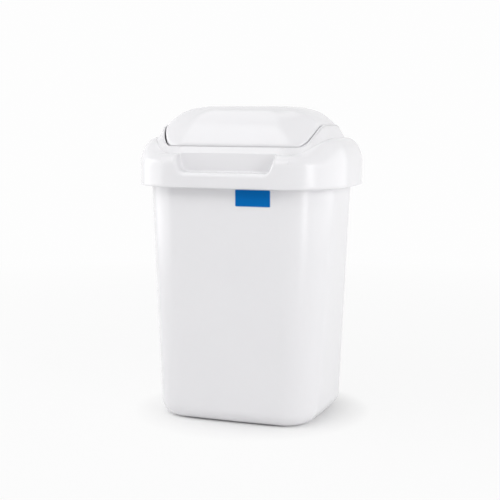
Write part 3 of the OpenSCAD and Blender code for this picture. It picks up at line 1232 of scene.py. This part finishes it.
@dataclass
class SwingFlap:
    """The domed flap with its hanging hem and its two pins.

    Its crown's rings are named by their share of the way from the middle to
    the edge, and its hem's by their share of the way down.
    """

    finish: bpy.types.Material
    skirt_z: float = 247.0
    width: float = 169.3
    depth: float = 120.8
    corner: float = 32.4
    rim_h: float = 40.5
    rim: Arch = RIM_ARCH
    sit_side: float = 0.9
    sit_front: float = 2.3
    crown_z: float = 329.5
    crown_front: float = 4.0
    crown_side: float = 5.5
    crown_wall: float = 1.6
    hem_wall: float = 2.6
    hem_drop: float = 36.0
    hem_flare: float = 4.0
    pivot_z: float = 300.5
    pin_r: float = 2.5
    pin_in: float = 2.6
    collar: float = 1.5
    gap: float = 1.35
    seat_gap: float = 0.3
    steps: tuple[int, int, int] = (22, 22, 28)
    crown_outside: tuple[float, ...] = (
        0.986, 0.974, 0.96, 0.94, 0.915, 0.885, 0.85, 0.81, 0.765, 0.71,
        0.65, 0.58, 0.5, 0.42, 0.34, 0.26, 0.18, 0.1, 0.04, 0,
    )
    crown_inside: tuple[float, ...] = (
        0, 0.15, 0.36, 0.5, 0.6, 0.69, 0.76, 0.82, 0.87, 0.91, 0.94, 0.965, 0.985,
    )
    hem_steps: tuple[float, ...] = (0.1, 0.25, 0.4, 0.55, 0.7, 0.85, 0.975)
    hem_round: tuple[tuple[float, float], ...] = (
        (1, 0.5), (0.93, 0.12), (0.78, 0), (0.22, 0), (0.07, 0.12), (0, 0.5),
    )
    hem_top: float = 0.035

    def __post_init__(self) -> None:
        """Fixes the places round the flap, which every ring shares."""
        self.stations = Stations.closed(*self.steps)
        _, self.edge_y = self.stations.ring(self.width, self.depth, self.corner)

    def edge_z(self, y: np.ndarray | float) -> np.ndarray | float:
        """Height of the flap's edge beside places along the depth."""
        sit = self.sit_front + (self.sit_side - self.sit_front) * self.rim.share(y)
        return self.skirt_z + self.rim_h + sit + self.rim.at(y)

    def crown_ring(self, rho: float, sunk: float = 0.0) -> np.ndarray:
        """A ring of the crown.

        Args:
            rho: Its place, 1 at the edge and 0 at the middle.
            sunk: How far it lies under the outer face.

        Returns:
            The ring's points.
        """
        x, y = self.stations.ring(self.width - 2 * sunk, self.depth - 2 * sunk, self.corner - sunk)
        low = self.edge_z(y) - sunk
        fullness = self.crown_front + (self.crown_side - self.crown_front) * self.rim.share(y)
        z = low + (self.crown_z - sunk - low) * (1 - rho**fullness)
        return np.stack([x * rho, y * rho, z], axis=1)

    def hem_ring(self, s: float, inside: float = 0.0) -> np.ndarray:
        """A ring of the hem, whose front and back follow circles about the pivot.

        Args:
            s: Its place, 0 at the flap's edge and 1 at the hem's lower edge.
            inside: How far it lies inside the outer face.

        Returns:
            The ring's points.
        """
        low, front = self.pivot_z - self.hem_drop, self.edge_z(self.depth / 2)
        down = self.pivot_z - (front + (low - front) * s)
        reach = math.sqrt((self.depth / 2) ** 2 + (self.pivot_z - front) ** 2 - down**2)
        corner = self.corner + self.hem_flare * s - inside
        x, y = self.stations.ring(self.width - 2 * inside, 2 * (reach - inside), corner)
        top = self.edge_z(self.edge_y) - (self.crown_wall if inside else 0)
        return np.stack([x, y, top + (low - top) * s], axis=1)

    def shell(self) -> bpy.types.Mesh:
        """The crown and the hem.

        Returns:
            The mesh.
        """
        rows = [self.crown_ring(rho, self.crown_wall) for rho in self.crown_inside]
        rows += [self.hem_ring(s, self.hem_wall) for s in self.hem_steps]
        inner, outer = self.hem_ring(1, self.hem_wall), self.hem_ring(1)
        rows += [outer + (inner - outer) * share + [0, 0, rise] for share, rise in self.hem_round]
        rows += [self.hem_ring(s) for s in (*self.hem_steps[::-1], self.hem_top)]
        ends = self.hem_ring(self.hem_top), self.crown_ring(1), self.crown_ring(self.crown_outside[0])
        rows += [rounded(*ends, t) for t in (0.25, 0.5, 0.75)]
        rows += [self.crown_ring(rho) for rho in self.crown_outside]
        return plain_mesh("swing_flap_shell", skin(np.stack(rows)), self.finish)

    def pins(self) -> bpy.types.Mesh:
        """The two moulded pins with their collars.

        Returns:
            The mesh.
        """
        start, face = -self.hem_wall / 2, self.gap - self.seat_gap
        collar, tip, r = self.pin_r + self.collar, self.gap + self.pin_in, self.pin_r
        rows = turned([
            (start, 0), (start, collar), (face - 0.3, collar), (face - 0.08, collar - 0.08),
            (face, collar - 0.3), (face, r + 0.4), (face + 0.12, r + 0.12), (face + 0.4, r),
            (tip - 0.5, r), (tip - 0.15, r - 0.15), (tip, r - 0.5), (tip, 0),
        ], 64)
        form = both_sides(rows, self.width / 2, self.pivot_z)
        return plain_mesh("swing_flap_pins", form, self.finish, True)

    def build(self) -> None:
        """Builds the flap's pieces."""
        seat(self.shell(), Body.FLAP, Slot.FLAP, "swing_flap")
        seat(self.pins(), Body.FLAP, Slot.FLAP)


# ---- Label ----


@dataclass
class Label:
    """The bare printed film on the bucket's front."""

    bucket: Bucket
    print_finish: bpy.types.Material
    edge_finish: bpy.types.Material
    width: float = 38.0
    height: float = 17.5
    x: float = 28.5
    top_z: float = 245.8
    corner: float = 1.5
    least_corner: float = 0.4
    glue: float = 0.05
    thick: float = 0.3
    margin: float = 0.45
    steps: tuple[int, int, int] = (8, 8, 24)

    def ring(self, inset: float, lift: float, shrink: float = 1.0) -> np.ndarray:
        """A ring of the film.

        Args:
            inset: How far it lies inside the film's edge.
            lift: How far it lies in front of the bucket's wall.
            shrink: How far it is drawn in to the middle, 0 at the middle.

        Returns:
            The ring's points.
        """
        corner = max(self.least_corner, self.corner - inset)
        x, z = Stations.closed(*self.steps).ring(self.width - 2 * inset, self.height - 2 * inset, corner)
        x, z = self.x + x * shrink, self.top_z - self.height / 2 + z * shrink
        return np.stack([x, self.bucket.front_y(x, z) - lift, z], axis=1)

    def build(self) -> None:
        """Builds the label, with its cut edge and back in their own finish."""
        face = self.glue + self.thick
        rings = [self.ring(0.2, self.glue, s) for s in (0, 0.5, 1)]
        rings += [self.ring(0, self.glue + 0.05), self.ring(0, face - 0.08), self.ring(0.08, face)]
        border = len(rings)
        rings += [self.ring(self.margin, face)]
        rings += [self.ring(self.margin + 0.02, face, s) for s in (1, 0.92, 0.8, 0.6, 0.4, 0.2, 0)]
        mesh = bare_mesh("label_film", *skin(np.stack(rings)))
        for finish in (self.print_finish, self.edge_finish):
            mesh.materials.append(finish)
        rows = np.arange(len(mesh.polygons)) // len(rings[0])
        mesh.polygons.foreach_set("material_index", (rows < border).astype(int))
        with edited(mesh) as shape:
            bmesh.ops.remove_doubles(shape, verts=shape.verts, dist=0.001 * MM)
        seat(mesh, Body.TUB, Slot.LABEL, "label")


# ---- Studio ----


@dataclass(frozen=True)
class SoftBox:
    """A soft lamp: its name, place, what it points at, its two sides and its power."""

    name: str
    place: Triple
    target: Triple
    sides: tuple[float, float]
    power: float

    def hang(self) -> None:
        """Adds the lamp to the scene."""
        lamp = bpy.data.lights.new(self.name, "AREA")
        lamp.shape, lamp.energy = "RECTANGLE", self.power
        lamp.size, lamp.size_y = self.sides
        made = bpy.data.objects.new(self.name, lamp)
        made.location = self.place
        way = Vector(self.target) - Vector(self.place)
        made.rotation_euler = way.to_track_quat("-Z", "Y").to_euler()
        bpy.context.scene.collection.objects.link(made)


@dataclass
class Studio:
    """The pale floor, the soft light and the camera at the photograph's angle.

    Its lengths are metres, and each fade of the floor's shadow is where it
    starts and over what distance it goes.
    """

    azimuth: float = math.radians(20.5)
    yaw: float = 0.0015
    pitch: float = 0.1230
    distance: float = 1.250
    eye: float = 0.3295
    focal: float = 1164.0 / 500.0 * SENSOR
    floor_size: float = 12.0
    floor_tone: float = 0.9
    white: float = 0.985
    shadow_glow: float = 0.88
    near_fade: tuple[float, float] = (0.075, 0.055)
    far_fade: tuple[float, float] = (0.35, 0.9)
    ambient: float = 0.355
    lamps: tuple[SoftBox, ...] = (
        SoftBox("box_right", (1.28, 0.40, 0.40), (0.0, 0.0, 0.17), (2.2, 1.1), 8.3),
        SoftBox("strip_right", (1.09, -0.71, 0.38), (0.0, 0.0, 0.16), (0.35, 1.1), 4.8),
        SoftBox("box_left", (-1.20, -0.18, 0.36), (0.0, 0.0, 0.15), (1.2, 1.0), 6.6),
        SoftBox("card_front", (-0.33, -0.86, 1.22), (0.0, 0.0, 0.30), (1.3, 0.72), 6.4),
        SoftBox("top", (-0.50, 0.12, 1.8), (0.0, 0.0, 0.2), (1.3, 0.9), 4.4),
    )

    def camera(self) -> None:
        """Adds the camera."""
        lens = bpy.data.cameras.new("photo_view")
        lens.sensor_width, lens.lens = SENSOR, self.focal
        lens.clip_start, lens.clip_end = 0.05, 50.0
        made = bpy.data.objects.new("photo_view", lens)
        across, back = math.sin(self.azimuth), -math.cos(self.azimuth)
        made.location = (across * self.distance, back * self.distance, self.eye)
        made.rotation_euler = (QUARTER - self.pitch, 0.0, self.azimuth + self.yaw)
        bpy.context.scene.collection.objects.link(made)
        bpy.context.scene.camera = made

    def floor(self) -> None:
        """Adds the floor, which shows nearly white to the camera and keeps its shadows."""
        half = self.floor_size / 2 / MM
        corners = [(-half, -half, 0), (half, -half, 0), (half, half, 0), (-half, half, 0)]
        mesh = bare_mesh("floor", corners, [(0, 1, 2, 3)])
        made = bpy.data.materials.new("pale_floor")
        tree = emptied(made)
        matt = tree.node("ShaderNodeBsdfDiffuse", None, {"Color": (*[self.floor_tone] * 3, 1.0)})
        glow = tree.node("ShaderNodeEmission", None, {"Color": (*[self.white] * 3, 1.0), "Strength": 1.0})
        place = tree.node("ShaderNodeTexCoord", output="Object")
        away = tree.node("ShaderNodeVectorMath", {"operation": "LENGTH"}, {0: place}, "Value")
        fades = (self.near_fade, self.far_fade)
        near, far = (((away - start) / run).at_least(0.0).at_most(1.0) for start, run in fades)
        share = self.shadow_glow * near
        share = share + (1 - share) * far
        mixed = tree.node("ShaderNodeMixShader", None, {0: tree.seen() * share, 1: matt, 2: glow})
        tree.node("ShaderNodeOutputMaterial", None, {"Surface": mixed})
        mesh.materials.append(made)
        show(mesh)

    def world(self) -> None:
        """Sets the white surroundings and their even light."""
        world = bpy.data.worlds.new("studio")
        tree = emptied(world)
        lit, white = (
            tree.node("ShaderNodeBackground", None, {"Color": (*[tone] * 3, 1.0), "Strength": strength})
            for tone, strength in ((1.0, self.ambient), (self.white, 1.0))
        )
        mixed = tree.node("ShaderNodeMixShader", None, {0: tree.seen(), 1: lit, 2: white})
        tree.node("ShaderNodeOutputWorld", None, {"Surface": mixed})
        bpy.context.scene.world = world

    def build(self) -> None:
        """Sets up the whole studio."""
        bpy.context.scene.view_settings.view_transform = "Standard"
        self.camera()
        self.floor()
        self.world()
        for lamp in self.lamps:
            lamp.hang()


def main() -> None:
    """Builds the studio and every piece of the trash can, in order."""
    logging.basicConfig(level=logging.INFO, format="%(name)s: %(message)s")
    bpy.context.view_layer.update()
    Studio().build()
    bucket = Bucket(Moulded("bucket_polypropylene").material())
    bucket.build()
    LidFrame(Moulded("lid_polypropylene", drift=19.0).material()).build()
    SwingFlap(Moulded("flap_polypropylene", drift=13.0).material()).build()
    ink = Printed("label_print", (0.0, 0.135, 0.45, 1.0), (0.002, 0.158, 0.50, 1.0))
    paper = Printed("label_edge", (0.42, 0.56, 0.72, 1.0), (0.5, 0.62, 0.76, 1.0))
    Label(bucket, ink.material(), paper.material()).build()


if __name__ == "__main__":
    main()
